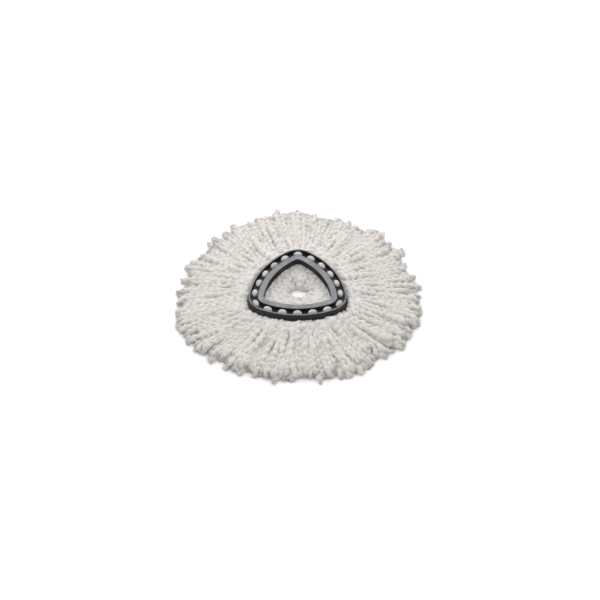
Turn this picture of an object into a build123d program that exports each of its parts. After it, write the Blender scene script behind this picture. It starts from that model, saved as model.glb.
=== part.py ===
from build123d import *
import math
import os

# Round yarn head of a spin mop.
#
# A rounded triangular frame and a clamp ring under it grip eighteen bundles of mop yarn between them. The
# clamp ring's posts stand between the bundles, pass through slots in the frame and end in heat-formed heads,
# which hold the two plastic parts together for good. The frame's triangular opening takes the plate of the
# mop's handle.
#
# Millimetres, +Z up. The origin is on the floor, on the head's axis, and one corner of the frame points
# along +Y.

# The stake line: the rounded triangle that the posts stand on. Its sides are slack arcs.
SIDE_MID = 48.6  # from the axis to the middle of a side
CORNER = 61.6  # from the axis to a corner
SIDE_RADIUS = 105.0
STAKES = 18

# Frame. Offsets are measured outwards from the stake line.
FRAME_BOTTOM = 17.0
FRAME_HEIGHT = 9.0
RIM_FOOT_OFFSET = 9.0
RIM_TOP_OFFSET = 6.8
CHANNEL_HALF = 5.0  # the channel's walls stand this far each side of the stake line
RIDGE_INNER_OFFSET = -12.6  # the wall of the opening
WALL = 2.0
CHANNEL_FLOOR = 2.4
CLAMP_RECESS = 1.2  # how far the channel's floor lies above the frame's lower edges
RIM_ROUNDING = 0.6

# Low ridges that bite into the yarn, on the frame's underside and, further out, on the clamp ring
RIDGE_WIDTH = 1.0
RIDGE_HEIGHT = 0.8
FRAME_RIDGE_OFFSET = 3.6
RING_RIDGE_OFFSET = 5.4

# Latch ledges low on the opening's wall, one in the middle of each side
LEDGE_LENGTH = 28.0
LEDGE_DEPTH = 1.1
LEDGE_Z = (1.0, 2.8)  # above the frame's lower edge

# Stakes: oblong posts with formed heads. Lengths run along the stake line.
POST = (8.0, 4.5)
POST_CLEARANCE = 0.2
BOSS = (12.0, 9.0)
BOSS_HEIGHT = 0.6
HEAD = (11.6, 8.2)
HEAD_HEIGHT = 5.0
HEAD_FOOT = 1.0  # the upright part of that height, below the dome
WEB_WIDTH = 3.0  # joins each boss to the ridge
WEB_DROP = 1.6  # below the frame's top
WEB_TO_HEAD = 0.3
CORE_RIB = 1.4  # thickness
SINK = 0.5  # how far a post or boss reaches into what it stands on

# Clamp ring
RING_BOTTOM = 8.0
RING_THICKNESS = 2.4
RING_OUTER_OFFSET = 6.4
RING_INNER_OFFSET = -10.5
RING_ROUNDING = 0.8

# Yarn, as the space that each bundle fills
SKIRT_RADIUS = 162.0
SKIRT_EDGE = 8.0  # thickness at the tips
SKIRT_RUN = 4.0  # how far inwards the skirt's top runs, at its edge, for each millimetre that it rises
PILE_TOP = 18.6  # outside the frame
PILE_CREST_RADIUS = 82.0
EYE_RADIUS = 7.0  # the small gap where the inner ends meet
EYE_EDGE = 8.0
INNER_TOP = 15.0  # inside the frame's opening
INNER_CREST_RADIUS = 32.0
YARN_GAP = 0.3  # between yarn and plastic
BUNDLE_GAP = 0.6  # between one bundle and the next
UNDER_RING_SLOT = (-5.5, 2.5)  # offsets of the gap that the yarn leaves under the clamp ring

OVERSHOOT = 1.0  # how far a cutter reaches past what it cuts
SAME_HEIGHT = 0.001

FRAME_TOP = FRAME_BOTTOM + FRAME_HEIGHT
FLOOR_UNDERSIDE = FRAME_BOTTOM + CLAMP_RECESS
FLOOR_TOP = FLOOR_UNDERSIDE + CHANNEL_FLOOR
BOSS_TOP = FLOOR_TOP + BOSS_HEIGHT
RING_TOP = RING_BOTTOM + RING_THICKNESS

# Corner arcs that meet the side arcs without a kink
SIDE_CENTRE = SIDE_RADIUS - SIDE_MID  # how far beyond the axis each side's arc is centred
CORNER_SLACK = SIDE_RADIUS - CORNER
CORNER_CENTRE = (SIDE_CENTRE**2 - CORNER_SLACK**2) / (2 * CORNER_SLACK - SIDE_CENTRE)
CORNER_RADIUS = CORNER - CORNER_CENTRE
SIDE_HALF_TURN = math.degrees(
    math.asin(CORNER_CENTRE * math.sin(math.radians(60)) / (SIDE_RADIUS - CORNER_RADIUS))
)
CORNER_HALF_TURN = 60 - SIDE_HALF_TURN
FIRST_CORNER = 90.0  # degrees, so that one corner points along +Y
CORNER_STEP = 120.0


def polar(radius, angle):
    """The point at radius and angle, in degrees, on the plane of the floor."""
    return Vector(radius * math.cos(math.radians(angle)), radius * math.sin(math.radians(angle)))


def triangle(offset):
    """The stake line's face, grown outwards by offset, with its arcs still concentric."""
    edges = []
    for third in range(3):
        corner = FIRST_CORNER - CORNER_STEP * third
        side = corner - CORNER_STEP / 2
        next_corner = corner - CORNER_STEP
        corner_centre = polar(CORNER_CENTRE, corner)
        side_centre = polar(-SIDE_CENTRE, side)
        corner_start = corner_centre + polar(CORNER_RADIUS + offset, corner + CORNER_HALF_TURN)
        side_start = side_centre + polar(SIDE_RADIUS + offset, side + SIDE_HALF_TURN)
        side_end = side_centre + polar(SIDE_RADIUS + offset, side - SIDE_HALF_TURN)
        edges.append(ThreePointArc(corner_start, polar(CORNER + offset, corner), side_start))
        edges.append(ThreePointArc(side_start, polar(SIDE_MID + offset, side), side_end))
    return make_face(Wire(edges))


def triangle_block(offset, bottom, top):
    return extrude(Pos(0, 0, bottom) * triangle(offset), top - bottom)


def triangle_band(inner, outer, bottom, top):
    """A closed band between two offsets from the stake line."""
    return triangle_block(outer, bottom, top) - triangle_block(inner, bottom - OVERSHOOT, top + OVERSHOOT)


def stake_places():
    """Where each stake stands, evenly spaced along the stake line, with X along the line and Y outwards."""
    corner_half = CORNER_RADIUS * math.radians(CORNER_HALF_TURN)
    side_length = 2 * SIDE_RADIUS * math.radians(SIDE_HALF_TURN)
    stakes_per_third = STAKES // 3
    pitch = (2 * corner_half + side_length) / stakes_per_third
    places = []
    for number in range(STAKES):
        third, step = divmod(number, stakes_per_third)
        corner = FIRST_CORNER - CORNER_STEP * third
        along = step * pitch
        if along <= corner_half:
            facing = corner - math.degrees(along / CORNER_RADIUS)
            point = polar(CORNER_CENTRE, corner) + polar(CORNER_RADIUS, facing)
        else:
            facing = corner - CORNER_HALF_TURN - math.degrees((along - corner_half) / SIDE_RADIUS)
            point = polar(-SIDE_CENTRE, corner - CORNER_STEP / 2) + polar(SIDE_RADIUS, facing)
        places.append(Location((point.X, point.Y, 0), (0, 0, facing - 90)))
    return places


def oblong(size, bottom, top, grow=0.0):
    """An upright peg with round ends, length by width, grown by grow all round."""
    length, width = size[0] + 2 * grow, size[1] + 2 * grow
    return extrude(Pos(0, 0, bottom) * SlotOverall(length, width), top - bottom)


def edges_at(shape, height):
    """The edges that lie flat at that height."""
    found = []
    for edge in shape.edges():
        box = edge.bounding_box()
        if abs(box.min.Z - height) < SAME_HEIGHT and abs(box.max.Z - height) < SAME_HEIGHT:
            found.append(edge)
    return found


def frame_shell():
    """The drafted outer wall, the open channel, the ridge with its hollow core, and the recess underneath."""
    foot = Pos(0, 0, FRAME_BOTTOM) * triangle(RIM_FOOT_OFFSET)
    crown = Pos(0, 0, FRAME_TOP) * triangle(RIM_TOP_OFFSET)
    shell = loft([foot, crown]) - triangle_block(RIDGE_INNER_OFFSET, 0, FRAME_TOP + OVERSHOOT)
    shell -= triangle_band(-CHANNEL_HALF, CHANNEL_HALF, FLOOR_TOP, FRAME_TOP + OVERSHOOT)
    shell = fillet(edges_at(shell, FRAME_TOP), RIM_ROUNDING)
    core_inner = RIDGE_INNER_OFFSET + WALL
    core_outer = -CHANNEL_HALF - WALL
    shell -= triangle_band(core_inner, core_outer, FRAME_BOTTOM - OVERSHOOT, FRAME_TOP - WALL)
    recess_outer = RIM_FOOT_OFFSET - WALL
    shell -= triangle_band(-CHANNEL_HALF, recess_outer, FRAME_BOTTOM - OVERSHOOT, FLOOR_UNDERSIDE)
    for middle in (-FRAME_RIDGE_OFFSET, FRAME_RIDGE_OFFSET):
        inner, outer = middle - RIDGE_WIDTH / 2, middle + RIDGE_WIDTH / 2
        shell += triangle_band(inner, outer, FLOOR_UNDERSIDE - RIDGE_HEIGHT, FLOOR_UNDERSIDE)
    return shell


def latch_ledges():
    """Three short ledges under which the handle's plate clips."""
    low, high = (FRAME_BOTTOM + z for z in LEDGE_Z)
    bead = triangle_band(RIDGE_INNER_OFFSET - LEDGE_DEPTH, RIDGE_INNER_OFFSET + WALL / 2, low, high)
    windows = [
        Rot(0, 0, FIRST_CORNER + CORNER_STEP * (third + 0.5))
        * Pos(SIDE_MID, 0, 0)
        * Box(SIDE_MID, LEDGE_LENGTH, 4 * FRAME_TOP)
        for third in range(3)
    ]
    return bead & Compound(windows)


def boss_with_web():
    """The raised seat that a formed head grips, and the web that ties it to the ridge."""
    boss = oblong(BOSS, FLOOR_TOP - SINK, BOSS_TOP)
    web_top = FRAME_TOP - WEB_DROP
    web_reach = CHANNEL_HALF - HEAD[1] / 2 - WEB_TO_HEAD
    web = Box(WEB_WIDTH, 2 * web_reach, web_top - FLOOR_TOP)
    return boss + Pos(0, -CHANNEL_HALF, (FLOOR_TOP + web_top) / 2) * web


def core_rib():
    """A cross rib in the ridge's hollow core."""
    start = RIDGE_INNER_OFFSET + WALL / 2
    end = -CHANNEL_HALF - WALL / 2
    top = FRAME_TOP - WALL
    rib = Box(CORE_RIB, end - start, top - FLOOR_UNDERSIDE)
    return Pos(0, (start + end) / 2, (FLOOR_UNDERSIDE + top) / 2) * rib


def top_frame():
    shape = frame_shell() + latch_ledges()
    fitting = boss_with_web() + core_rib()
    slot = oblong(POST, FRAME_BOTTOM, FRAME_TOP, POST_CLEARANCE)
    for place in stake_places():
        shape += place * fitting
        shape -= place * slot
    return shape


def stake_head():
    """A formed head: an oval foot with a dome on it."""
    half_length, half_width = HEAD[0] / 2, HEAD[1] / 2
    foot = extrude(Ellipse(half_length, half_width), HEAD_FOOT)
    dome = scale(Sphere(1.0), by=(half_length, half_width, HEAD_HEIGHT - HEAD_FOOT))
    dome = split(dome, bisect_by=Plane.XY, keep=Keep.TOP)
    return Pos(0, 0, BOSS_TOP) * (foot + Pos(0, 0, HEAD_FOOT) * dome)


def clamp_ring():
    plate = triangle_band(RING_INNER_OFFSET, RING_OUTER_OFFSET, RING_BOTTOM, RING_TOP)
    plate = fillet(edges_at(plate, RING_BOTTOM), RING_ROUNDING)
    for middle in (-RING_RIDGE_OFFSET, RING_RIDGE_OFFSET):
        inner, outer = middle - RIDGE_WIDTH / 2, middle + RIDGE_WIDTH / 2
        plate += triangle_band(inner, outer, RING_TOP, RING_TOP + RIDGE_HEIGHT)
    stake = oblong(POST, RING_TOP - SINK, BOSS_TOP) + stake_head()
    return plate + [place * stake for place in stake_places()]


def yarn_pile():
    """All the yarn as one ring of pile, before it is parted into bundles."""
    with BuildPart() as pile:
        with BuildSketch(Plane.XZ):
            with BuildLine():
                Line((EYE_RADIUS, 0), (SKIRT_RADIUS - SKIRT_EDGE / 2, 0))
                ThreePointArc(
                    (SKIRT_RADIUS - SKIRT_EDGE / 2, 0),
                    (SKIRT_RADIUS, SKIRT_EDGE / 2),
                    (SKIRT_RADIUS - SKIRT_EDGE / 2, SKIRT_EDGE),
                )
                Spline(
                    (SKIRT_RADIUS - SKIRT_EDGE / 2, SKIRT_EDGE),
                    (PILE_CREST_RADIUS, PILE_TOP),
                    tangents=((-SKIRT_RUN, 1), (-1, 0)),
                )
                Line((PILE_CREST_RADIUS, PILE_TOP), (INNER_CREST_RADIUS, PILE_TOP))
                Line((INNER_CREST_RADIUS, PILE_TOP), (INNER_CREST_RADIUS, INNER_TOP))
                Line((INNER_CREST_RADIUS, INNER_TOP), (EYE_RADIUS, EYE_EDGE))
                Line((EYE_RADIUS, EYE_EDGE), (EYE_RADIUS, 0))
            make_face()
        revolve(axis=Axis.Z)
    return pile.part


def yarn_bundles():
    """The pile with room left for the plastic, parted at each stake. Clockwise from the +Y corner."""
    places = stake_places()
    pile = yarn_pile()
    pile -= triangle_block(RIM_FOOT_OFFSET + YARN_GAP, FRAME_BOTTOM - YARN_GAP, FRAME_TOP)
    pile -= triangle_block(RIDGE_INNER_OFFSET, INNER_TOP, FRAME_TOP)
    pile -= triangle_band(
        RING_INNER_OFFSET - YARN_GAP,
        RING_OUTER_OFFSET + YARN_GAP,
        RING_BOTTOM - YARN_GAP,
        RING_TOP + RIDGE_HEIGHT + YARN_GAP,
    )
    pile -= triangle_band(*UNDER_RING_SLOT, -OVERSHOOT, RING_BOTTOM)
    for place in places:
        pile -= place * oblong(POST, RING_BOTTOM, FRAME_TOP, YARN_GAP)
        angle = math.degrees(math.atan2(place.position.Y, place.position.X))
        pile -= Rot(0, 0, angle) * Pos(SKIRT_RADIUS / 2, 0, 0) * Box(
            SKIRT_RADIUS + 2 * OVERSHOOT, BUNDLE_GAP, 3 * FRAME_TOP
        )

    def clockwise(solid):
        centre = solid.center()
        return (FIRST_CORNER - math.degrees(math.atan2(centre.Y, centre.X))) % 360

    return sorted(pile.solids(), key=clockwise)


def main():
    os.makedirs("parts", exist_ok=True)
    export_step(top_frame(), "parts/top_frame.step")
    export_step(clamp_ring(), "parts/clamp_ring.step")
    bundles = yarn_bundles()
    for number, bundle in enumerate(bundles, start=1):
        export_step(bundle, f"parts/yarn_bundle_{number:02d}.step")
    print(f"{len(bundles)} bundles, corner radius {CORNER_RADIUS:.2f} mm")


main()
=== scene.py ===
import math

import bpy
import numpy as np
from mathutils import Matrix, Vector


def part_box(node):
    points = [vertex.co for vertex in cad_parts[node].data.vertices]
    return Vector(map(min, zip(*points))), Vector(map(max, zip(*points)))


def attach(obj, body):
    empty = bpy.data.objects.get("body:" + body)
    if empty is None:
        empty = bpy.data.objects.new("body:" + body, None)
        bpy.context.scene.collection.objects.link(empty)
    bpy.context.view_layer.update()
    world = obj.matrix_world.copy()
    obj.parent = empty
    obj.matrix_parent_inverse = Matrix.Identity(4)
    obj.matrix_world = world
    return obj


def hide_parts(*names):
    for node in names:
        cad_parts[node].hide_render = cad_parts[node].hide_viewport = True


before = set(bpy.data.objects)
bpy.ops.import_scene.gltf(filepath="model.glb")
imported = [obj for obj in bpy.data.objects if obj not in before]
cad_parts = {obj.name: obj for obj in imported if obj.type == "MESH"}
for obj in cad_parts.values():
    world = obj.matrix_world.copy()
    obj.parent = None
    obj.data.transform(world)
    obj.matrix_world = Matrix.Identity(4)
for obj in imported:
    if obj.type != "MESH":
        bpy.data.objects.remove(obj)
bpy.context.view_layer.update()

MM = 0.001

# ---------------------------------------------------------------- the frame's sizes, metres

BUNDLES = 18

# The stake line, which the posts stand on: a rounded triangle with slack arcs for sides
SIDE_MID = 48.6 * MM  # from the axis
CORNER = 61.6 * MM
SIDE_RADIUS = 105 * MM
SIDE_CENTRE = SIDE_RADIUS - SIDE_MID
CORNER_SLACK = SIDE_RADIUS - CORNER
CORNER_CENTRE = (SIDE_CENTRE**2 - CORNER_SLACK**2) / (2 * CORNER_SLACK - SIDE_CENTRE)
CORNER_RADIUS = CORNER - CORNER_CENTRE
SIDE_HALF_TURN = math.asin(CORNER_CENTRE * math.sin(math.pi / 3) / (SIDE_RADIUS - CORNER_RADIUS))
CORNER_HALF_TURN = math.pi / 3 - SIDE_HALF_TURN
FIRST_CORNER = math.pi / 2
THIRD = 2 * math.pi / 3

FRAME_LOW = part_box("top_frame")[0][2]
FRAME_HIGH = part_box("top_frame")[1][2]
FRAME_FOOT_OFFSET = 9.0 * MM  # the frame's outer edge, from the stake line
FRAME_OPENING_OFFSET = -12.6 * MM
RING_THICKNESS = 2.4 * MM
RING_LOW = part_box("clamp_ring")[0][2]
RING_HIGH = RING_LOW + RING_THICKNESS

# ---------------------------------------------------------------- the yarn's sizes, metres

COLUMNS = 4  # of yarns side by side in a bundle
LAYERS = 4
LAYER_ORDER = np.array([0, 2, 1, 3])  # clockwise through a column, so that its yarns fan out uncrossed
LAYER_STAGGER = 0.5  # of a column, between odd and even layers
YARNS_PER_BUNDLE = COLUMNS * LAYERS
YARNS = BUNDLES * YARNS_PER_BUNDLE

YARN_RADIUS = 2.6 * MM  # as it packs against its neighbours
INNER_YARN_RADIUS = 1.9 * MM
CLAMPED_SHARE = 0.36  # of its radius that the clamp leaves a yarn
UNCLAMPED = (4 * MM, 15 * MM)  # the stretch from the clamp over which it swells again
CLAMPED_WIDTH = 0.56  # of a bundle, between two posts, against its width outside
HELD_LENGTH = 9 * MM  # each side of the clamp, that can't move

# A yarn's look: two plies side by side, twisted
PLY_RADIUS = 3.6 * MM
PLY_OFFSET = 0.9 * MM  # from the yarn's centre to each ply's
PLY_PITCH = 20.0 * MM  # one full turn, so a bump every half of it
PITCH_SPREAD = 0.15  # of the pitch
PITCH_LIMITS = (0.6, 1.6)  # times the pitch
BEAD_SHARE = 0.12  # how much thicker each bump is than the mean, and each dip thinner
THICKNESS_SPREAD = 0.07  # along a yarn, and again from yarn to yarn
COARSE_FUZZ = 0.32 * MM
FINE_FUZZ = 0.13 * MM
FRAY = 1.2  # how much fuzzier an outer end is
INNER_FRAY = 0.2
FRAY_LENGTH = 12 * MM
SWELL_PLACE = 19.0 * MM  # from the clamp, where the yarns swell up beside the frame
SWELL_WIDTH = 10.0 * MM
SWELL_SHARE = 0.4
INNER_FULLNESS = 1.6  # the inner ends look thicker than they pack
FULL_FROM = (14 * MM, 30 * MM)  # over that stretch from the clamp
TIP_THICKNESS = (0.45, 0.95)  # of the yarn's thickness, from yarn to yarn
INNER_TIP_THICKNESS = 0.85  # of that, at an inner end
TAPER_LENGTH = 10 * MM
ROUNDED_LENGTH = 2.6 * MM
END_OPENING = 0.02  # squared share of its radius that a yarn's last ring keeps
ABOVE_FLOOR = 0.1 * MM

# The skirt's outline
TIP_RADIUS = 151.5 * MM  # from the axis to the ends of the yarns, on average
TIP_SCALLOP = 3.8 * MM  # further towards the frame's corners
TIP_SHIFT = 5.5 * MM  # how far behind the axis the middle of the skirt lies
TIP_WAVES = 2.0 * MM
TIP_TUFTS = 2.2 * MM
TIP_SPREAD = 4.6 * MM
TIP_LIMITS = (-11 * MM, 6 * MM)
STRAY_SHARE = 0.07  # of the yarns, which reach further out
STRAY_LENGTH = (4 * MM, 10 * MM)
ANGLE_SPREAD = math.radians(0.5)
ANGLE_TUFTS = math.radians(0.4)
ANGLE_WAVES = math.radians(1.5)
PARTINGS = 22  # gaps between tufts at the skirt's edge
PARTING_TURN = (math.radians(0.4), math.radians(1.5))  # how far a parting turns the tips beside it
PARTING_REACH = math.radians(2.2)
EXIT_OFFSET = 12.0 * MM  # from the stake line to where the yarns have spread to an even row
SKIRT_SLOPES = (0.8, 0.9)  # how firmly a yarn keeps its direction as it leaves and as it ends
ARCH = 1.5  # millimetres that each layer's skirt arches above the one below
ARCH_SKEW = 0.7  # brings the arch's top nearer to the frame

# The inner ends and the small hole that they leave
INNER_TIP_STARTS = np.array([8.0, 8.0, 12.0, 16.0]) * MM  # nearest to the hole's centre, by layer
INNER_TIP_SPAN = 20.0 * MM  # and at most that much further
INNER_ANGLE_SPREAD = 0.16
EYE_CENTRE = np.array([0.2, 5.2]) * MM
EYE_RADIUS = 9.7 * MM
EYE_WAVE = 0.25  # of its radius, how uneven the hole's edge is
EYE_HEIGHT = 5.5 * MM  # that the inner ends may reach beside the hole
EYE_SLOPE = 38 * MM  # over which they may rise to the frame
EYE_PUSH = 0.3  # of the way out of the hole, at each pass
EYE_LOWERING = 0.5  # of the way down
TONGUE_ANGLE = math.radians(238)  # a few inner ends lie across the hole from there
TONGUE_HALF_WIDTH = math.radians(38)  # over which the hole's edge gives way to them
TONGUE_YARNS = math.radians(9)  # the ends within that angle lie across it
TONGUE_TIP = 0.5 * MM  # from the hole's centre

# Heights of the layers before they settle. In a pair: the lowest one's, and each one's step up
CLAMPED_HEIGHT = (0.14, 0.24)  # of the room between the ring and the frame
LEAVING_STEP = 1.15  # of a yarn's radius, from one layer to the next
TIP_STEP = 1.2  # likewise
INNER_TIP_HEIGHT = (0.8, 0.7)  # of a yarn's radius

# How much darker and browner the yarn is painted, added to the painted shade in the groove between its plies
# Painted light: the skirt is painted darker, so the yarn in the frame's opening stays lighter than the skirt
# though the frame shades it
SKIRT_PAINTED_DARKENING = 0.42  # all the way out from the frame
SKIRT_DARKENING_LENGTH = 45 * MM  # from the clamp to where it is painted that dark
# Darker and browner towards each outer end, over this length
TIP_TINT = 0.4
TIP_TINT_LENGTH = 22 * MM

# Loose fibres, as short bent spikes
FIBRES_PER_YARN = 620
FIBRE_LENGTH = (1.2 * MM, 3.4 * MM)
FIBRE_RADIUS = 0.17 * MM
FIBRE_ROOT = 0.3 * MM  # how deep it starts in the yarn
FIBRE_LEAN = 1.4  # along the yarn, against outwards
FIBRE_CURL = 0.4
FIBRE_DROOP = 0.8  # how far its outer half turns back to the yarn
FIBRE_TAPER = 0.8  # its middle's radius against its root's
TIP_FIBRE_SHARE = 0.12  # of the fibres, which stand out from the yarn's last rings
TIP_FIBRE_RINGS = 7
TIP_FIBRE_LEAN = 2.0
TIP_FIBRE_LENGTH = 1.6  # times another fibre's
SPIKE_SIZE = 7  # vertices: a root ring and a middle ring of three each, and a tip
SPIKE_QUADS = np.array([[0, 1, 4, 3], [1, 2, 5, 4], [2, 0, 3, 5]])
SPIKE_TRIANGLES = np.array([[0, 2, 1], [3, 4, 6], [4, 5, 6], [5, 3, 6]])

# Points of a path, first as it is drawn and then as it settles, and the finished mesh's rings
INNER_POINTS = 30
UNDER_FRAME_POINTS = 12
SKIRT_POINTS = 60
POINTS = 44
RINGS = 190
SIDES = 14

# Settling
STEPS = 150
PASSES = 3  # of the constraints in each step
PAIRS_EVERY = 6  # steps, that the touching pairs are found again
PAIRS_MARGIN = 1.5 * MM
DRIFT = 0.86  # of a point's last move, that it keeps
FALL = 0.05 * MM
PUSH = 1.4  # above one, so that fewer passes are needed
STIFFNESS = 0.1  # of the way to the middle of its neighbours, at each pass
FLOOR_GRIP = 0.1 * MM  # nearer to the floor than this, a yarn doesn't slide on

# ---------------------------------------------------------------- light and camera, metres

LIGHTS = (  # name, place, size and watts
    ("overhead", (-0.3, 0.3, 1.7), 1.8, 2),
    ("behind", (-0.05, 0.66, 0.55), 0.6, 2.4),
    ("left", (-0.7, 0.1, 0.5), 0.7, 0.8),
    ("right", (0.7, 0.1, 0.5), 0.7, 0.6),
)
FLOOR_SIZE = 12
CAMERA_ELEVATION = math.radians(44.0)
CAMERA_AZIMUTH = math.radians(0.3)
CAMERA_DISTANCE = 2.3
CAMERA_AIM = np.array([0.003, -0.001, 0.0])
CAMERA_LENS = 106.3  # millimetres
CAMERA_SENSOR = 36  # millimetres wide

TINY = 1e-9  # keeps divisions from zero

random = np.random.default_rng(20)


# ---------------------------------------------------------------- the stake line

def polar(radius, angle):
    return np.stack([radius * np.cos(angle), radius * np.sin(angle)], axis=-1)


def stake_line(share):
    """Points and outward angles, for shares of the way round, clockwise from the +Y corner."""
    corner_half = CORNER_RADIUS * CORNER_HALF_TURN
    side_length = 2 * SIDE_RADIUS * SIDE_HALF_TURN
    third_length = 2 * corner_half + side_length
    along = (np.asarray(share) % 1.0) * 3 * third_length
    third = np.floor(along / third_length)
    along = along - third * third_length
    corner = FIRST_CORNER - THIRD * third
    side = corner - THIRD / 2
    next_corner = corner - THIRD
    facing_first = corner - along / CORNER_RADIUS
    facing_side = corner - CORNER_HALF_TURN - (along - corner_half) / SIDE_RADIUS
    facing_last = next_corner + CORNER_HALF_TURN - (along - corner_half - side_length) / CORNER_RADIUS
    first = polar(CORNER_CENTRE, corner) + polar(CORNER_RADIUS, facing_first)
    middle = polar(-SIDE_CENTRE, side) + polar(SIDE_RADIUS, facing_side)
    last = polar(CORNER_CENTRE, next_corner) + polar(CORNER_RADIUS, facing_last)
    in_first = along < corner_half
    in_last = along > corner_half + side_length
    facing = np.where(in_first, facing_first, np.where(in_last, facing_last, facing_side))
    point = np.where(in_first[..., None], first, np.where(in_last[..., None], last, middle))
    return point, facing


def stake_offset(points):
    """How far outside the stake line each point lies, and the outward direction there."""
    xy = points[..., :2]
    angle = np.arctan2(xy[..., 1], xy[..., 0])
    side = FIRST_CORNER - THIRD / 2 - THIRD * np.round((FIRST_CORNER - THIRD / 2 - angle) / THIRD)
    from_side = xy - polar(-SIDE_CENTRE, side)
    turn = turn_between(np.arctan2(from_side[..., 1], from_side[..., 0]), side)
    from_corner = xy - polar(CORNER_CENTRE, side + np.sign(turn) * math.pi / 3)
    on_side = (np.abs(turn) <= SIDE_HALF_TURN)[..., None]
    spoke = np.where(on_side, from_side, from_corner)
    reach = np.linalg.norm(spoke, axis=-1)
    offset = reach - np.where(on_side[..., 0], SIDE_RADIUS, CORNER_RADIUS)
    return offset, spoke / np.maximum(reach, TINY)[..., None]


def turn_between(angle, other):
    return (angle - other + math.pi) % (2 * math.pi) - math.pi


def smoothstep(low, high, value):
    t = np.clip((value - low) / (high - low), 0, 1)
    return t * t * (3 - 2 * t)


def ripple(angle, waves, seed):
    """A smooth random function of the angle round the axis, about one in size and at most about three."""
    draw = np.random.default_rng(seed)
    total = np.zeros_like(angle)
    for wave in waves:
        total += draw.normal() * np.sin(wave * angle + draw.uniform(0, 2 * math.pi))
    return total / math.sqrt(len(waves))


# ---------------------------------------------------------------- how the yarns lie before they settle

def outer_angles():
    """The angle that each yarn is heading for, evenly spread along the stake line and then disturbed."""
    spread, _ = stake_line((np.arange(YARNS) + 0.5) / YARNS)
    angle = np.arctan2(spread[:, 1], spread[:, 0])
    angle = angle + random.normal(0, ANGLE_SPREAD, YARNS)
    angle = angle + ANGLE_TUFTS * ripple(angle, (37, 44, 53, 61), seed=5)
    return angle + ANGLE_WAVES * ripple(angle, (3, 5, 8), seed=6)


def tip_distances(angle):
    """How far each yarn's outer end is from the axis: the skirt's ragged outline."""
    tip = TIP_RADIUS + TIP_SCALLOP * np.cos(3 * (angle - FIRST_CORNER)) + TIP_SHIFT * np.sin(angle)
    tip = tip + TIP_WAVES * ripple(angle, (7, 11, 17), seed=8)
    tip = tip + TIP_TUFTS * ripple(angle, (31, 43, 57), seed=9)
    tip = tip + np.clip(random.normal(0, TIP_SPREAD, YARNS), *TIP_LIMITS)
    strays = random.random(YARNS) < STRAY_SHARE
    return tip + strays * random.uniform(*STRAY_LENGTH, YARNS)


def parted(angle):
    """The angles of the outer ends, turned away from the partings between tufts."""
    parting = 2 * math.pi * (np.arange(PARTINGS) + random.random(PARTINGS)) / PARTINGS
    beside = turn_between(angle[:, None], parting)
    turn = random.uniform(*PARTING_TURN, PARTINGS) * np.sign(beside)
    push = turn * np.exp(-np.abs(beside) / PARTING_REACH)
    return angle + push.sum(axis=1)


def inner_ends(layer, clamp):
    """Distance and angle of each inner end from the hole's centre."""
    distance = INNER_TIP_STARTS[layer] + random.uniform(0, INNER_TIP_SPAN, YARNS)
    angle = np.arctan2(clamp[:, 1], clamp[:, 0]) + random.normal(0, INNER_ANGLE_SPREAD, YARNS)
    across_hole = (layer == 0) & (np.abs(turn_between(angle, TONGUE_ANGLE)) < TONGUE_YARNS)
    return np.where(across_hole, TONGUE_TIP, distance), angle


def yarn_plan():
    """Where each yarn is clamped, where it leaves the frame and where its two ends go."""
    number = np.arange(YARNS)
    bundle = number // YARNS_PER_BUNDLE
    slot = number % YARNS_PER_BUNDLE
    column = slot // LAYERS
    layer = LAYER_ORDER[slot % LAYERS]
    shift = LAYER_STAGGER * (layer % 2) - LAYER_STAGGER / 2
    across = (column + 0.5 + shift) / COLUMNS
    clamp, facing = stake_line((bundle + 0.5 + CLAMPED_WIDTH * (across - 0.5)) / BUNDLES)
    leave, _ = stake_line((bundle + across) / BUNDLES)
    angle = outer_angles()
    tip = tip_distances(angle)
    tip_angle = parted(angle)
    inner_tip, inner_angle = inner_ends(layer, clamp)
    return dict(bundle=bundle, layer=layer, clamp=clamp, facing=facing, leave=leave, angle=angle, tip=tip,
                tip_angle=tip_angle, inner_tip=inner_tip, inner_angle=inner_angle)


def hermite(start, end, start_slope, end_slope, count):
    t = np.linspace(0, 1, count)[None, :, None]
    start, end, start_slope, end_slope = (v[:, None, :] for v in (start, end, start_slope, end_slope))
    return ((2 * t**3 - 3 * t**2 + 1) * start + (t**3 - 2 * t**2 + t) * start_slope
            + (3 * t**2 - 2 * t**3) * end + (t**3 - t**2) * end_slope)


def span(start, end):
    return np.linalg.norm(end - start, axis=1, keepdims=True)


def level(xy, z):
    return np.column_stack([xy, np.broadcast_to(z, len(xy))])


def evenly(whole, first_count):
    """Each polyline again as POINTS evenly spaced points, their distances from the clamp, and its length."""
    steps = np.linalg.norm(np.diff(whole, axis=1), axis=2)
    along = np.concatenate([np.zeros((YARNS, 1)), np.cumsum(steps, axis=1)], axis=1)
    lengths = along[:, -1]
    even = np.linspace(0, 1, POINTS)
    paths = np.empty((YARNS, POINTS, 3))
    for yarn in range(YARNS):
        for axis in range(3):
            paths[yarn, :, axis] = np.interp(even * lengths[yarn], along[yarn], whole[yarn, :, axis])
    return paths, even[None, :] * lengths[:, None] - along[:, [first_count]], lengths


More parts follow.
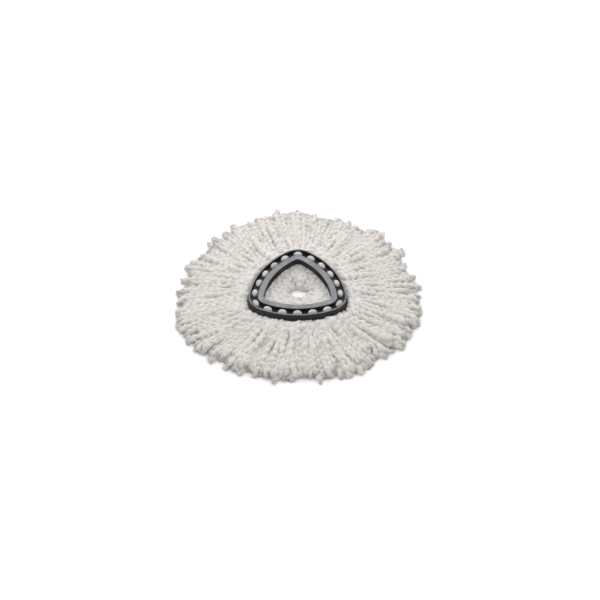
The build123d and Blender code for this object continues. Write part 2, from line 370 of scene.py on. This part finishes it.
def first_paths(plan):
    """Every yarn from its inner end, through the clamp, to its outer end."""
    layer = plan["layer"]
    lowest, step = CLAMPED_HEIGHT
    clamp = level(plan["clamp"], RING_HIGH + (lowest + step * layer) * (FRAME_LOW - RING_HIGH))
    outwards = level(polar(1.0, plan["facing"]), 0)
    radial = level(polar(1.0, plan["angle"]), 0)
    leave_place = plan["leave"] + EXIT_OFFSET * outwards[:, :2]
    leave = level(leave_place, YARN_RADIUS + LEAVING_STEP * layer * YARN_RADIUS)
    tip = level(polar(plan["tip"], plan["tip_angle"]), YARN_RADIUS * (1 + TIP_STEP * layer))
    tip_way = level(polar(1.0, plan["tip_angle"]), 0)

    short, long = span(clamp, leave), span(leave, tip)
    heading = 0.5 * outwards + 0.5 * radial
    under_frame = hermite(clamp, leave, short * outwards, short * heading, UNDER_FRAME_POINTS)
    leaving, ending = SKIRT_SLOPES
    skirt = hermite(leave, tip, leaving * long * heading, ending * long * tip_way, SKIRT_POINTS)
    arch = np.sin(math.pi * np.linspace(0, 1, SKIRT_POINTS) ** ARCH_SKEW)
    rise = arch[None, :] * (layer - 0.5)[:, None]
    skirt[:, :, 2] += rise * ARCH * MM

    lowest, step = INNER_TIP_HEIGHT
    inner_place = EYE_CENTRE + polar(plan["inner_tip"], plan["inner_angle"])
    inner_tip = level(inner_place, YARN_RADIUS * (lowest + step * layer))
    inner_span = span(clamp, inner_tip)
    inner = hermite(clamp, inner_tip, -inner_span * outwards, inner_tip - clamp, INNER_POINTS)
    whole = np.concatenate([inner[:, :0:-1], under_frame, skirt[:, 1:]], axis=1)
    return evenly(whole, INNER_POINTS - 1)


def packed_radius(from_clamp):
    """A yarn's radius along its length: squeezed at the clamp, full some way out."""
    swell = smoothstep(*UNCLAMPED, np.abs(from_clamp))
    full = np.where(from_clamp > 0, YARN_RADIUS, INNER_YARN_RADIUS)
    return full * (CLAMPED_SHARE + (1 - CLAMPED_SHARE) * swell)


# ---------------------------------------------------------------- settling

def close_pairs(points, owner, reach):
    """Every pair of points of two different yarns that are nearer than reach."""
    cell = np.floor((points - points.min(axis=0)) / reach).astype(np.int64) + 1
    cells = cell.max(axis=0) + 2
    key = (cell[:, 0] * cells[1] + cell[:, 1]) * cells[2] + cell[:, 2]
    order = np.argsort(key, kind="stable")
    ordered = key[order]
    firsts, seconds = [], []
    for dx, dy, dz in [(x, y, z) for x in (-1, 0, 1) for y in (-1, 0, 1) for z in (-1, 0, 1)]:
        target = key + (dx * cells[1] + dy) * cells[2] + dz
        start = np.searchsorted(ordered, target, "left")
        count = np.searchsorted(ordered, target, "right") - start
        first = np.repeat(np.arange(len(points)), count)
        step = np.arange(count.sum()) - np.repeat(np.cumsum(count) - count, count)
        second = order[np.repeat(start, count) + step]
        keep = (first < second) & (owner[first] != owner[second])
        first, second = first[keep], second[keep]
        near = ((points[first] - points[second]) ** 2).sum(axis=1) < reach * reach
        firsts.append(first[near])
        seconds.append(second[near])
    return np.concatenate(firsts), np.concatenate(seconds)


def push_apart(points, radius, first, second):
    """Move overlapping points apart, each by its average share."""
    gap = points[first] - points[second]
    distance = np.linalg.norm(gap, axis=1)
    overlap = radius[first] + radius[second] - distance
    hit = overlap > 0
    first, second = first[hit], second[hit]
    move = gap[hit] * (0.5 * overlap[hit] / np.maximum(distance[hit], TINY))[:, None]
    total = len(points)
    count = np.bincount(first, minlength=total) + np.bincount(second, minlength=total)
    for axis in range(3):
        shift = (np.bincount(first, move[:, axis], minlength=total)
                 - np.bincount(second, move[:, axis], minlength=total))
        points[:, axis] += PUSH * shift / np.maximum(count, 1)


def keep_lengths(paths, rest):
    """Hold every segment at its own length, even ones first and then odd ones."""
    for start in (0, 1):
        near, far = paths[:, start:-1:2], paths[:, start + 1::2]
        pairs = min(near.shape[1], far.shape[1])
        near, far = near[:, :pairs], far[:, :pairs]
        segment = far - near
        length = np.linalg.norm(segment, axis=2, keepdims=True)
        move = 0.5 * segment * (1 - rest[:, None, None] / np.maximum(length, TINY))
        near += move
        far -= move


def keep_smooth(paths):
    """Resist sharp bends."""
    middle = 0.5 * (paths[:, :-2] + paths[:, 2:])
    paths[:, 1:-1] += STIFFNESS * (middle - paths[:, 1:-1])


def keep_under_frame(paths, radius, offset, outwards):
    """Hold the yarns below the frame, or slide them out from under its edge where that is nearer."""
    under_foot = (offset < FRAME_FOOT_OFFSET + radius) & (offset > FRAME_OPENING_OFFSET - radius)
    too_high = paths[..., 2] + radius - FRAME_LOW
    outside = FRAME_FOOT_OFFSET + radius - offset
    slide_out = under_foot & (too_high > outside) & (offset > 0)
    paths[..., :2] += np.where(slide_out, outside, 0)[..., None] * outwards
    duck = under_foot & ~slide_out & (too_high > 0)
    paths[..., 2] -= np.where(duck, too_high, 0)


def keep_hole_open(paths, radius, offset):
    """Push the inner ends out of the hole and down towards its edge."""
    from_eye = paths[..., :2] - EYE_CENTRE
    reach = np.linalg.norm(from_eye, axis=-1)
    around_eye = np.arctan2(from_eye[..., 1], from_eye[..., 0])
    tongue = np.exp(-(turn_between(around_eye, TONGUE_ANGLE) / TONGUE_HALF_WIDTH) ** 2)
    eye_edge = EYE_RADIUS * (1 + EYE_WAVE * ripple(around_eye, (2, 3, 5), seed=4) - tongue)
    short = np.maximum(eye_edge + radius - reach, 0)
    paths[..., :2] += (EYE_PUSH * short / np.maximum(reach, TINY))[..., None] * from_eye
    up_slope = np.clip((reach - EYE_RADIUS) / EYE_SLOPE, 0, 1)
    highest = EYE_HEIGHT + (FRAME_LOW - EYE_HEIGHT) * up_slope
    over = np.where(offset < FRAME_OPENING_OFFSET, paths[..., 2] + radius - highest, 0)
    paths[..., 2] -= EYE_LOWERING * np.clip(over, 0, None)


def keep_clear(paths, radius):
    """Hold the yarns above the floor, under or beside the frame, and out of the hole."""
    np.maximum(paths[..., 2], radius, out=paths[..., 2])
    offset, outwards = stake_offset(paths)
    keep_under_frame(paths, radius, offset, outwards)
    keep_hole_open(paths, radius, offset)


def settle(paths, from_clamp, lengths):
    """Let the yarns fall, press on each other and come to rest."""
    radius = packed_radius(from_clamp)
    rest = lengths / (POINTS - 1)
    held = np.abs(from_clamp) < HELD_LENGTH
    pinned = paths[held].copy()
    owner = np.repeat(np.arange(YARNS), POINTS)
    flat_radius = radius.ravel()
    before = paths.copy()
    for step in range(STEPS):
        drift = DRIFT * (paths - before)
        before = paths.copy()
        paths += drift
        paths[..., 2] -= FALL
        if step % PAIRS_EVERY == 0:
            first, second = close_pairs(paths.reshape(-1, 3), owner, 2 * YARN_RADIUS + PAIRS_MARGIN)
        for _ in range(PASSES):
            push_apart(paths.reshape(-1, 3), flat_radius, first, second)
            keep_smooth(paths)
            keep_lengths(paths, rest)
            keep_clear(paths, radius)
            paths[held] = pinned
        on_floor = paths[..., 2] < radius + FLOOR_GRIP
        before[on_floor, :2] = paths[on_floor, :2]
    return paths


# ---------------------------------------------------------------- from paths to twisted yarns

def unit(vectors):
    return vectors / np.maximum(np.linalg.norm(vectors, axis=-1, keepdims=True), TINY)


def resample(values, count):
    """Catmull-Rom through evenly spaced values, along the second axis."""
    last = values.shape[1] - 1
    place = np.linspace(0, last, count)
    index = np.minimum(place.astype(int), last - 1)
    t = (place - index)[None, :, None]
    p0 = values[:, np.maximum(index - 1, 0)]
    p1 = values[:, index]
    p2 = values[:, index + 1]
    p3 = values[:, np.minimum(index + 2, last)]
    return 0.5 * (2 * p1 + (p2 - p0) * t + (2 * p0 - 5 * p1 + 4 * p2 - p3) * t**2
                  + (3 * p1 - p0 - 3 * p2 + p3) * t**3)


def side_directions(paths):
    """Two directions square to each path, carried along it without twisting."""
    ahead = unit(np.gradient(paths, axis=1))
    side = np.empty_like(paths)
    side[:, 0] = unit(np.cross(ahead[:, 0], [0, 0, 1.0]))
    for ring in range(1, paths.shape[1]):
        before, along = side[:, ring - 1], ahead[:, ring]
        side[:, ring] = unit(before - (before * along).sum(axis=1, keepdims=True) * along)
    return side, np.cross(ahead, side)


def smooth_noise(shape, passes):
    """White noise evened out along the yarn and round it, with a spread of one."""
    noise = random.normal(0, 1, shape)
    for _ in range(passes):
        noise = (2 * noise + np.roll(noise, 1, axis=1) + np.roll(noise, -1, axis=1)) / 4
        if noise.ndim == 3:
            noise = (2 * noise + np.roll(noise, 1, axis=2) + np.roll(noise, -1, axis=2)) / 4
    return noise / noise.std()


def two_ply_radius(round_angle):
    """Distance from a yarn's centre to its surface, where two plies lie side by side."""
    return (PLY_OFFSET * np.abs(np.cos(round_angle))
            + np.sqrt(PLY_RADIUS**2 - (PLY_OFFSET * np.sin(round_angle)) ** 2))


def to_nearer_end(distance):
    return np.minimum(distance - distance[:, :1], distance[:, -1:] - distance)


def fullness(distance):
    """How much thicker a yarn looks than it packs: in the opening, and where it swells beside the frame."""
    swell = (distance - SWELL_PLACE) / SWELL_WIDTH
    inner = 1 + (INNER_FULLNESS - 1) * smoothstep(*FULL_FROM, -distance)
    return np.where(distance < 0, inner, 1 + SWELL_SHARE * np.exp(-swell**2))


def end_rounding(distance):
    """Thins a yarn towards its end and closes it with a blunt round tip."""
    left = to_nearer_end(distance)
    inner_share = np.where(distance < 0, INNER_TIP_THICKNESS, 1)
    thinnest = random.uniform(*TIP_THICKNESS, (len(distance), 1)) * inner_share
    thin = thinnest + (1 - thinnest) * smoothstep(0, TAPER_LENGTH, left)
    share = np.clip(left / ROUNDED_LENGTH, 0, 1)
    return thin * np.sqrt(np.maximum(1 - (1 - share) ** 2, END_OPENING))


def painted_shade_and_tint_of(distance, reach):
    """How dark each place is painted: painted shade in the groove between the plies, painted darkening along
    the skirt, and a darker, browner tint at the tip.
    """
    near_tip = 1 - smoothstep(0, TIP_TINT_LENGTH, distance[:, -1:] - distance)
    painted_tone = SKIRT_PAINTED_DARKENING * smoothstep(0, SKIRT_DARKENING_LENGTH, distance) + TIP_TINT * near_tip
    # One minus the surface's reach is painted shade, deepest in the groove where the two plies meet
    return 1 - reach / (PLY_RADIUS + PLY_OFFSET) + painted_tone[..., None]


def yarn_surfaces(paths, from_clamp, lengths):
    """Every yarn's centre line, the vertices of the rings round it, and how much painted shade and tint each
    vertex gets.
    """
    centre = resample(paths, RINGS)
    distance = resample(from_clamp[..., None], RINGS)[..., 0]
    side, up = side_directions(centre)
    spacing = lengths / (RINGS - 1)

    spread = 1 + PITCH_SPREAD * smooth_noise((YARNS, RINGS), passes=80)
    turns = np.cumsum(spacing[:, None] / (PLY_PITCH * np.clip(spread, *PITCH_LIMITS)), axis=1)
    twist = 2 * math.pi * turns + random.uniform(0, math.pi, (YARNS, 1))
    around = np.linspace(0, 2 * math.pi, SIDES, endpoint=False)
    reach = two_ply_radius(around[None, None, :] - twist[..., None])
    dinge = painted_shade_and_tint_of(distance, reach)

    along = 1 + THICKNESS_SPREAD * smooth_noise((YARNS, RINGS), passes=30)
    each = 1 + THICKNESS_SPREAD * random.normal(0, 1, (YARNS, 1))
    beads = 1 + BEAD_SHARE * np.cos(4 * math.pi * turns + random.uniform(0, 6, (YARNS, 1)))
    packed = packed_radius(distance) / YARN_RADIUS
    reach = reach * (along * each * beads * packed * fullness(distance))[..., None]
    near_end = 1 - smoothstep(0, FRAY_LENGTH, to_nearer_end(distance))
    fray = (1 + np.where(distance < 0, INNER_FRAY, FRAY) * near_end)[..., None]
    reach = reach + fray * COARSE_FUZZ * smooth_noise((YARNS, RINGS, SIDES), passes=7)
    reach = reach + fray * FINE_FUZZ * smooth_noise((YARNS, RINGS, SIDES), passes=1)
    reach = reach * end_rounding(distance)[..., None]

    directions = (np.cos(around)[None, None, :, None] * side[:, :, None]
                  + np.sin(around)[None, None, :, None] * up[:, :, None])
    surface = centre[:, :, None] + reach[..., None] * directions
    surface[..., 2] = np.maximum(surface[..., 2], ABOVE_FLOOR)
    return centre, surface, dinge


def fibre_spikes(centre, surface):
    """Loose fibres on every yarn, each with its SPIKE_SIZE vertices."""
    count = (YARNS, FIBRES_PER_YARN)
    yarn = np.arange(YARNS)[:, None]
    ring = random.integers(1, RINGS - 1, count)
    at_tip = random.random(count) < TIP_FIBRE_SHARE
    ring = np.where(at_tip, random.integers(RINGS - TIP_FIBRE_RINGS, RINGS - 1, count), ring)
    side = random.integers(0, SIDES, count)
    root = surface[yarn, ring, side]
    outwards = unit(root - centre[yarn, ring])
    along = unit(centre[yarn, ring + 1] - centre[yarn, ring - 1])
    lean = np.where(at_tip, TIP_FIBRE_LEAN, random.uniform(-FIBRE_LEAN, FIBRE_LEAN, count))[..., None]
    length = (np.where(at_tip, TIP_FIBRE_LENGTH, 1.0) * random.uniform(*FIBRE_LENGTH, count))[..., None]
    first = unit(outwards + lean * along + random.normal(0, FIBRE_CURL, (*count, 3)))
    second = unit(first - FIBRE_DROOP * outwards + random.normal(0, FIBRE_CURL, (*count, 3)))
    middle = root + 0.5 * length * first
    tip = middle + 0.5 * length * second

    across = unit(np.cross(first, random.normal(0, 1, (*count, 3))))[..., None, :]
    over = np.cross(first, across[..., 0, :])[..., None, :]
    turn = (2 * math.pi * np.arange(3) / 3)[:, None]
    rim = FIBRE_RADIUS * (np.cos(turn) * across + np.sin(turn) * over)
    root_ring = (root - FIBRE_ROOT * outwards)[..., None, :] + rim
    middle_ring = middle[..., None, :] + FIBRE_TAPER * rim
    spikes = np.concatenate([root_ring, middle_ring, tip[..., None, :]], axis=2)
    spikes[..., 2] = np.maximum(spikes[..., 2], ABOVE_FLOOR)
    return spikes


def tube_faces():
    """The quads of one yarn's tube, and the triangles that close its two ends."""
    ring = np.arange(RINGS - 1)[:, None] * SIDES
    place = np.arange(SIDES)
    after = (place + 1) % SIDES
    quads = np.stack([ring + place, ring + after, ring + SIDES + after, ring + SIDES + place], axis=-1)
    start_pole = RINGS * SIDES
    end_pole = start_pole + 1
    last = start_pole - SIDES
    fans = np.concatenate([
        np.stack([np.full(SIDES, start_pole), after, place], axis=-1),
        np.stack([np.full(SIDES, end_pole), last + place, last + after], axis=-1),
    ])
    return quads.reshape(-1, 4), fans


def repeated(faces, count, size, first=0):
    """The same faces for each of count pieces of size vertices, which begin at vertex first."""
    base = first + size * np.arange(count)
    return (faces[None] + base[:, None, None]).reshape(-1, faces.shape[1])


def mesh_of(name, vertices, quads, triangles):
    mesh = bpy.data.meshes.new(name)
    mesh.vertices.add(len(vertices))
    mesh.vertices.foreach_set("co", vertices.astype(np.float32).ravel())
    loops = np.concatenate([quads.ravel(), triangles.ravel()])
    sizes = np.concatenate([np.full(len(quads), 4), np.full(len(triangles), 3)])
    mesh.loops.add(len(loops))
    mesh.loops.foreach_set("vertex_index", loops.astype(np.int32))
    mesh.polygons.add(len(sizes))
    mesh.polygons.foreach_set("loop_start", (np.cumsum(sizes) - sizes).astype(np.int32))
    mesh.polygons.foreach_set("use_smooth", np.ones(len(sizes), bool))
    mesh.update(calc_edges=True)
    return mesh


def bundle_mesh(name, centre, surface, dinge, spikes):
    """One closed tube for each yarn and one closed spike for each loose fibre, all in one mesh."""
    yarns = len(surface)
    tubes = np.concatenate([surface.reshape(yarns, -1, 3), centre[:, [0]], centre[:, [-1]]], axis=1)
    tube_size = tubes.shape[1]
    first_spike = yarns * tube_size
    fibres = yarns * FIBRES_PER_YARN
    vertices = np.concatenate([tubes.reshape(-1, 3), spikes.reshape(-1, 3)])
    quads, fans = tube_faces()
    mesh = mesh_of(
        name,
        vertices,
        np.concatenate([repeated(quads, yarns, tube_size),
                        repeated(SPIKE_QUADS, fibres, SPIKE_SIZE, first_spike)]),
        np.concatenate([repeated(fans, yarns, tube_size),
                        repeated(SPIKE_TRIANGLES, fibres, SPIKE_SIZE, first_spike)]),
    )
    # Each tube vertex carries its painted shade and tint; the loose fibres get none
    values = np.zeros(len(vertices), np.float32)
    values[:first_spike].reshape(yarns, tube_size)[:, :RINGS * SIDES] = dinge.reshape(yarns, -1)
    mesh.attributes.new("dinge", "FLOAT", "POINT").data.foreach_set("value", values)
    return mesh


def make_yarn():
    plan = yarn_plan()
    paths, from_clamp, lengths = first_paths(plan)
    paths = settle(paths, from_clamp, lengths)
    centre, surface, dinge = yarn_surfaces(paths, from_clamp, lengths)
    spikes = fibre_spikes(centre, surface)
    material = yarn_material()
    for bundle in range(BUNDLES):
        own = plan["bundle"] == bundle
        node = f"yarn_bundle_{bundle + 1:02d}"
        mesh = bundle_mesh(f"yarns_{bundle + 1:02d}", centre[own], surface[own], dinge[own], spikes[own])
        mesh.materials.append(material)
        piece = bpy.data.objects.new(mesh.name, mesh)
        bpy.context.scene.collection.objects.link(piece)
        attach(piece, "root")
        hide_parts(node)


# ---------------------------------------------------------------- materials

def new_material(name):
    material = bpy.data.materials.new(name)
    material.use_nodes = True
    return material, material.node_tree, material.node_tree.nodes["Principled BSDF"]


def object_place(tree):
    return tree.nodes.new("ShaderNodeTexCoord").outputs["Object"]


def noise_node(tree, place, scale, detail):
    """Noise with about that many patches in a metre."""
    noise = tree.nodes.new("ShaderNodeTexNoise")
    noise.inputs["Scale"].default_value = scale
    noise.inputs["Detail"].default_value = detail
    noise.inputs["Roughness"].default_value = 0.6
    tree.links.new(place, noise.inputs["Vector"])
    return noise.outputs["Fac"]


def ramp_node(tree, factor, stops):
    ramp = tree.nodes.new("ShaderNodeValToRGB")
    elements = ramp.color_ramp.elements
    while len(elements) < len(stops):
        elements.new(0.5)
    for element, (position, colour) in zip(elements, stops):
        element.position = position
        element.color = (*colour, 1)
    tree.links.new(factor, ramp.inputs["Fac"])
    return ramp.outputs["Color"]


def grey(value):
    return (value, value, value)


def mix_node(tree, first, second, blend_type="MIX"):
    mix = tree.nodes.new("ShaderNodeMix")
    mix.data_type = "RGBA"
    mix.blend_type = blend_type
    mix.inputs["Factor"].default_value = 1.0
    tree.links.new(first, mix.inputs["A"])
    tree.links.new(second, mix.inputs["B"])
    return mix


def bump_node(tree, height, strength, distance, normal=None):
    bump = tree.nodes.new("ShaderNodeBump")
    bump.inputs["Strength"].default_value = strength
    bump.inputs["Distance"].default_value = distance
    tree.links.new(height, bump.inputs["Height"])
    if normal is not None:
        tree.links.new(normal, bump.inputs["Normal"])
    return bump.outputs["Normal"]


def yarn_material():
    """Off-white microfibre, in slightly different patches, darker and browner where it is painted: painted
    shade in the grooves between plies, painted darkening along the skirt, and a tint at the outer ends.
    """
    material, tree, shader = new_material("microfibre_yarn")
    place = object_place(tree)
    dinge = tree.nodes.new("ShaderNodeAttribute")
    dinge.attribute_name = "dinge"
    # The yarn's own colour, in random patches
    own_colour = ramp_node(tree, noise_node(tree, place, scale=38, detail=3), [
        (0.34, (0.606, 0.574, 0.547)),
        (0.50, (0.624, 0.600, 0.573)),
        (0.66, (0.614, 0.602, 0.582)),
    ])
    # Painted shade and tint from the vertex attribute, multiplied over it
    shade_and_tint_colour = ramp_node(tree, dinge.outputs["Fac"], [(0.0, grey(1)), (1.0, (0.865, 0.84, 0.81))])
    colour = mix_node(tree, own_colour, shade_and_tint_colour, "MULTIPLY").outputs["Result"]
    tree.links.new(colour, shader.inputs["Base Color"])
    shader.inputs["Roughness"].default_value = 0.95
    shader.inputs["Specular IOR Level"].default_value = 0.1
    shader.inputs["Sheen Weight"].default_value = 0.8
    shader.inputs["Sheen Roughness"].default_value = 0.6
    grain = noise_node(tree, place, scale=1400, detail=3)
    fibres = noise_node(tree, place, scale=420, detail=3)
    fine = bump_node(tree, grain, strength=0.25, distance=0.4 * MM)
    normal = bump_node(tree, fibres, strength=0.22, distance=0.8 * MM, normal=fine)
    tree.links.new(normal, shader.inputs["Normal"])
    return material


def frame_material():
    """Dark moulded plastic, with a painted highlight: lighter along its highest edge, where the lamps'
    reflection falls.
    """
    material, tree, shader = new_material("moulded_frame")
    place = object_place(tree)
    patches = noise_node(tree, place, scale=90, detail=4)
    dark = ramp_node(tree, patches, [(0.3, (0.010, 0.010, 0.011)), (0.75, (0.017, 0.017, 0.019))])
    # Painted highlight: the ridge's top is painted lighter to stand in for the lamps' reflection
    painted_tone = ramp_node(tree, patches, [(0.3, (0.132, 0.132, 0.141)), (0.75, (0.23, 0.23, 0.241))])
    height = tree.nodes.new("ShaderNodeSeparateXYZ")
    tree.links.new(place, height.inputs["Vector"])
    top = tree.nodes.new("ShaderNodeMapRange")
    top.inputs["From Min"].default_value = FRAME_HIGH - 0.7 * MM
    top.inputs["From Max"].default_value = FRAME_HIGH - 0.1 * MM
    tree.links.new(height.outputs["Z"], top.inputs["Value"])
    colour = mix_node(tree, dark, painted_tone)
    tree.links.new(top.outputs["Result"], colour.inputs["Factor"])
    tree.links.new(colour.outputs["Result"], shader.inputs["Base Color"])
    smears = noise_node(tree, place, scale=260, detail=3)
    roughness = ramp_node(tree, smears, [(0.3, grey(0.42)), (0.7, grey(0.56))])
    tree.links.new(roughness, shader.inputs["Roughness"])
    shader.inputs["Specular IOR Level"].default_value = 0.32
    grain = noise_node(tree, place, scale=2600, detail=2)
    tree.links.new(bump_node(tree, grain, strength=0.12, distance=0.3 * MM), shader.inputs["Normal"])
    return material


def ring_material():
    """Greyish white plastic with the dents that a hot tool leaves in the posts' heads."""
    material, tree, shader = new_material("white_polypropylene")
    place = object_place(tree)
    patches = noise_node(tree, place, scale=120, detail=3)
    colour = ramp_node(tree, patches, [(0.35, grey(0.34)), (0.65, grey(0.54))])
    tree.links.new(colour, shader.inputs["Base Color"])
    shader.inputs["Roughness"].default_value = 0.34
    shader.inputs["Subsurface Weight"].default_value = 0.15
    shader.inputs["Subsurface Radius"].default_value = (0.002, 0.002, 0.0018)
    dents = noise_node(tree, place, scale=360, detail=2)
    tree.links.new(bump_node(tree, dents, strength=0.6, distance=1.4 * MM), shader.inputs["Normal"])
    return material


def dress_plastic():
    for node, material in (("top_frame", frame_material()), ("clamp_ring", ring_material())):
        for slot in bpy.data.objects[node].material_slots:
            slot.material = material


# ---------------------------------------------------------------- floor, light and camera

def make_floor():
    bpy.ops.mesh.primitive_plane_add(size=FLOOR_SIZE)
    floor = bpy.context.object
    floor.name = "studio_floor"
    material, _, shader = new_material("studio_floor")
    shader.inputs["Base Color"].default_value = (0.98, 0.98, 0.98, 1)
    shader.inputs["Roughness"].default_value = 0.9
    shader.inputs["Specular IOR Level"].default_value = 0.0
    floor.data.materials.append(material)


def area_light(name, place, size, power):
    """A round soft light that faces the object."""
    light = bpy.data.lights.new(name, "AREA")
    light.shape = "DISK"
    light.size = size
    light.energy = power
    lamp = bpy.data.objects.new(name, light)
    lamp.location = place
    direction = -lamp.location
    lamp.rotation_euler = direction.to_track_quat("-Z", "Y").to_euler()
    bpy.context.scene.collection.objects.link(lamp)


def make_light():
    world = bpy.data.worlds.new("studio")
    world.use_nodes = True
    background = world.node_tree.nodes["Background"]
    background.inputs["Color"].default_value = (1, 1, 1, 1)
    background.inputs["Strength"].default_value = 1.0
    bpy.context.scene.world = world
    for light in LIGHTS:
        area_light(*light)


def make_camera():
    """Looking down on the head from the side where the frame's edge faces the viewer."""
    camera = bpy.data.cameras.new("camera")
    camera.lens = CAMERA_LENS
    camera.sensor_width = CAMERA_SENSOR
    camera.clip_start = 0.05
    eye = bpy.data.objects.new("camera", camera)
    eye.location = CAMERA_AIM + CAMERA_DISTANCE * np.array([
        math.sin(CAMERA_AZIMUTH) * math.cos(CAMERA_ELEVATION),
        -math.cos(CAMERA_AZIMUTH) * math.cos(CAMERA_ELEVATION),
        math.sin(CAMERA_ELEVATION),
    ])
    eye.rotation_euler = (math.pi / 2 - CAMERA_ELEVATION, 0, CAMERA_AZIMUTH)
    bpy.context.scene.collection.objects.link(eye)
    bpy.context.scene.camera = eye


def make_scene():
    make_camera()
    make_floor()
    make_light()
    dress_plastic()
    make_yarn()
    bpy.context.scene.view_settings.view_transform = "Standard"


make_scene()
